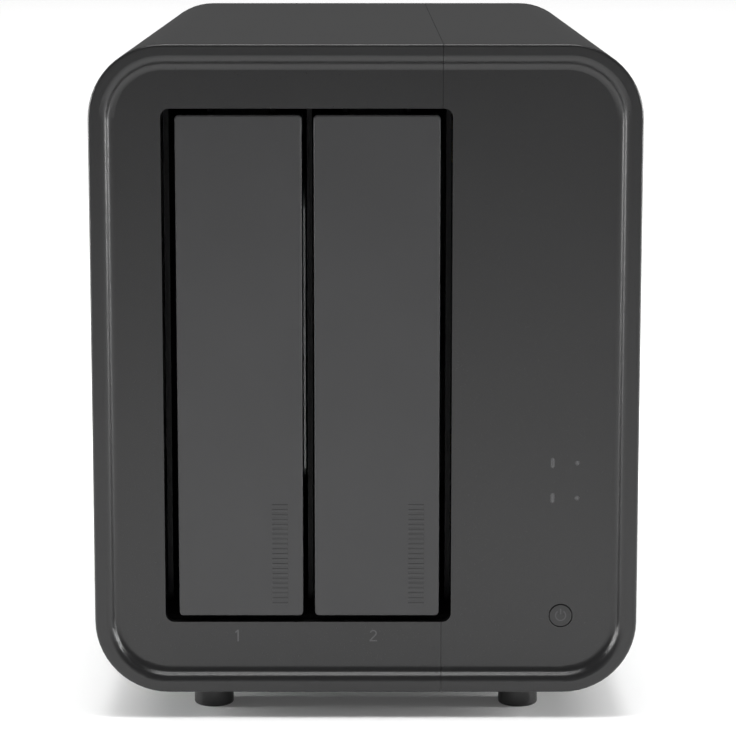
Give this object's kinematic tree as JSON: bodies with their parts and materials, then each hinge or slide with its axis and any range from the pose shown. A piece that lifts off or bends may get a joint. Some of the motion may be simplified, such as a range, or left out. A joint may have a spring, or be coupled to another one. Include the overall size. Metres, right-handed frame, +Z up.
{
  "type": "network attached storage",
  "caption": "Desktop network attached storage enclosure with side-by-side upright drive trays, swing-out tray handles, rear fan, network, USB and power sockets.",
  "frame": {"origin": "on the floor plane, at the centre of the bounding box's bottom face", "axes": "+Z up, -Y towards the front with the drive trays, +X to the right as seen from the front"},
  "size_m": [0.122, 0.219, 0.152],
  "materials": {
    "casing": "fine moulded texture, charcoal grey",
    "tray_front": "fine moulded texture, charcoal grey",
    "rear_panel": "fine moulded texture, near black",
    "cage_metal": "black powder coat on steel sheet",
    "screw_steel": "zinc plated",
    "circuit_board": "green solder mask",
    "drive_board": "green solder mask",
    "connector_black": "black moulded nylon",
    "spacer_brass": "turned",
    "chip_black": "moulded epoxy",
    "heatsink_aluminium": "extruded, clear anodised",
    "capacitor_can": "drawn aluminium can",
    "battery_steel": "nickel plated",
    "port_metal": "nickel plated shell",
    "fan_plastic": "black glass-filled plastic",
    "fan_rotor_plastic": "black glass-filled plastic",
    "lead_sleeve": "black sleeve over three wires",
    "plug_white": "natural nylon",
    "light_pipe": "smoked clear plastic",
    "foot_rubber": "black rubber",
    "reset_plastic": "black plastic",
    "tray_plastic": "black ABS",
    "clip_plastic": "grey nylon",
    "drive_casting": "cast aluminium, dark coat",
    "drive_cover": "stamped aluminium",
    "pin_steel": "ground steel"
  },
  "bodies": {
    "chassis": {"left_shell": "casing", "right_shell": "casing", "rear_panel": "rear_panel", "cage_base": "cage_metal", "cage_roof": "cage_metal", "cage_left_wall": "cage_metal", "cage_divider": "cage_metal", "cage_right_wall": "cage_metal", "cage_screws": "screw_steel", "post_screws": "screw_steel", "backplane_board": "circuit_board", "drive_connectors": "connector_black", "main_board": "circuit_board", "board_spacers": "spacer_brass", "board_screws": "screw_steel", "link_connector": "connector_black", "processor": "chip_black", "heatsink": "heatsink_aluminium", "memory_chips": "chip_black", "capacitors": "capacitor_can", "backup_battery": "battery_steel", "lan_port": "port_metal", "usb_port_upper": "port_metal", "usb_port_lower": "port_metal", "power_inlet": "connector_black", "reset_switch": "connector_black", "fan_frame": "fan_plastic", "fan_screws": "screw_steel", "panel_screws": "screw_steel", "fan_plug": "plug_white", "fan_lead": "lead_sleeve", "indicator_board": "circuit_board", "small_board_screws": "screw_steel", "light_pipes": "light_pipe", "power_switch": "connector_black", "foot_front_left": "foot_rubber", "foot_back_left": "foot_rubber", "foot_front_right": "foot_rubber", "foot_back_right": "foot_rubber"},
    "fan": {"fan_rotor": "fan_rotor_plastic"},
    "power_button": {"power_button": "casing"},
    "reset_button": {"reset_button": "reset_plastic"},
    "tray_1": {"tray_1_frame": "tray_plastic", "tray_1_clips": "clip_plastic", "drive_1_case": "drive_casting", "drive_1_cover": "drive_cover", "drive_1_board": "drive_board", "tray_1_latch_spring": "pin_steel"},
    "tray_1_handle": {"tray_1_handle": "tray_front", "tray_1_hinge_pin": "pin_steel"},
    "tray_1_latch": {"tray_1_latch_plunger": "tray_plastic"},
    "tray_2": {"tray_2_frame": "tray_plastic", "tray_2_clips": "clip_plastic", "drive_2_case": "drive_casting", "drive_2_cover": "drive_cover", "drive_2_board": "drive_board", "tray_2_latch_spring": "pin_steel"},
    "tray_2_handle": {"tray_2_handle": "tray_front", "tray_2_hinge_pin": "pin_steel"},
    "tray_2_latch": {"tray_2_latch_plunger": "tray_plastic"}
  },
  "joints": [
    {"name": "fan_spin", "type": "hinge", "parent": "chassis", "child": "fan", "pos_m": [-0.017, 0.0925, 0.081], "axis": [0, 1, 0], "continuous": true},
    {"name": "power_button_press", "type": "slide", "parent": "chassis", "child": "power_button", "axis": [0, 1, 0], "range_m": [0, 0.0006], "stiffness_N_per_m": 800},
    {"name": "reset_button_press", "type": "slide", "parent": "chassis", "child": "reset_button", "axis": [0, -1, 0], "range_m": [0, 0.0005], "stiffness_N_per_m": 800},
    {"name": "tray_1_slide", "type": "slide", "parent": "chassis", "child": "tray_1", "axis": [0, -1, 0], "range_m": [0, 0.172]},
    {"name": "tray_1_handle_swing", "type": "hinge", "parent": "tray_1", "child": "tray_1_handle", "pos_m": [-0.0281, -0.1026, 0.12235], "axis": [-1, 0, 0], "range_deg": [0, 45]},
    {"name": "tray_1_latch_press", "type": "slide", "parent": "tray_1", "child": "tray_1_latch", "axis": [0, 1, 0], "range_m": [0, 0.0015], "stiffness_N_per_m": 400, "deforming": ["tray_1_latch_spring"]},
    {"name": "tray_2_slide", "type": "slide", "parent": "chassis", "child": "tray_2", "axis": [0, -1, 0], "range_m": [0, 0.172]},
    {"name": "tray_2_handle_swing", "type": "hinge", "parent": "tray_2", "child": "tray_2_handle", "pos_m": [0.0025, -0.1026, 0.12235], "axis": [-1, 0, 0], "range_deg": [0, 45]},
    {"name": "tray_2_latch_press", "type": "slide", "parent": "tray_2", "child": "tray_2_latch", "axis": [0, 1, 0], "range_m": [0, 0.0015], "stiffness_N_per_m": 400, "deforming": ["tray_2_latch_spring"]}
  ]
}
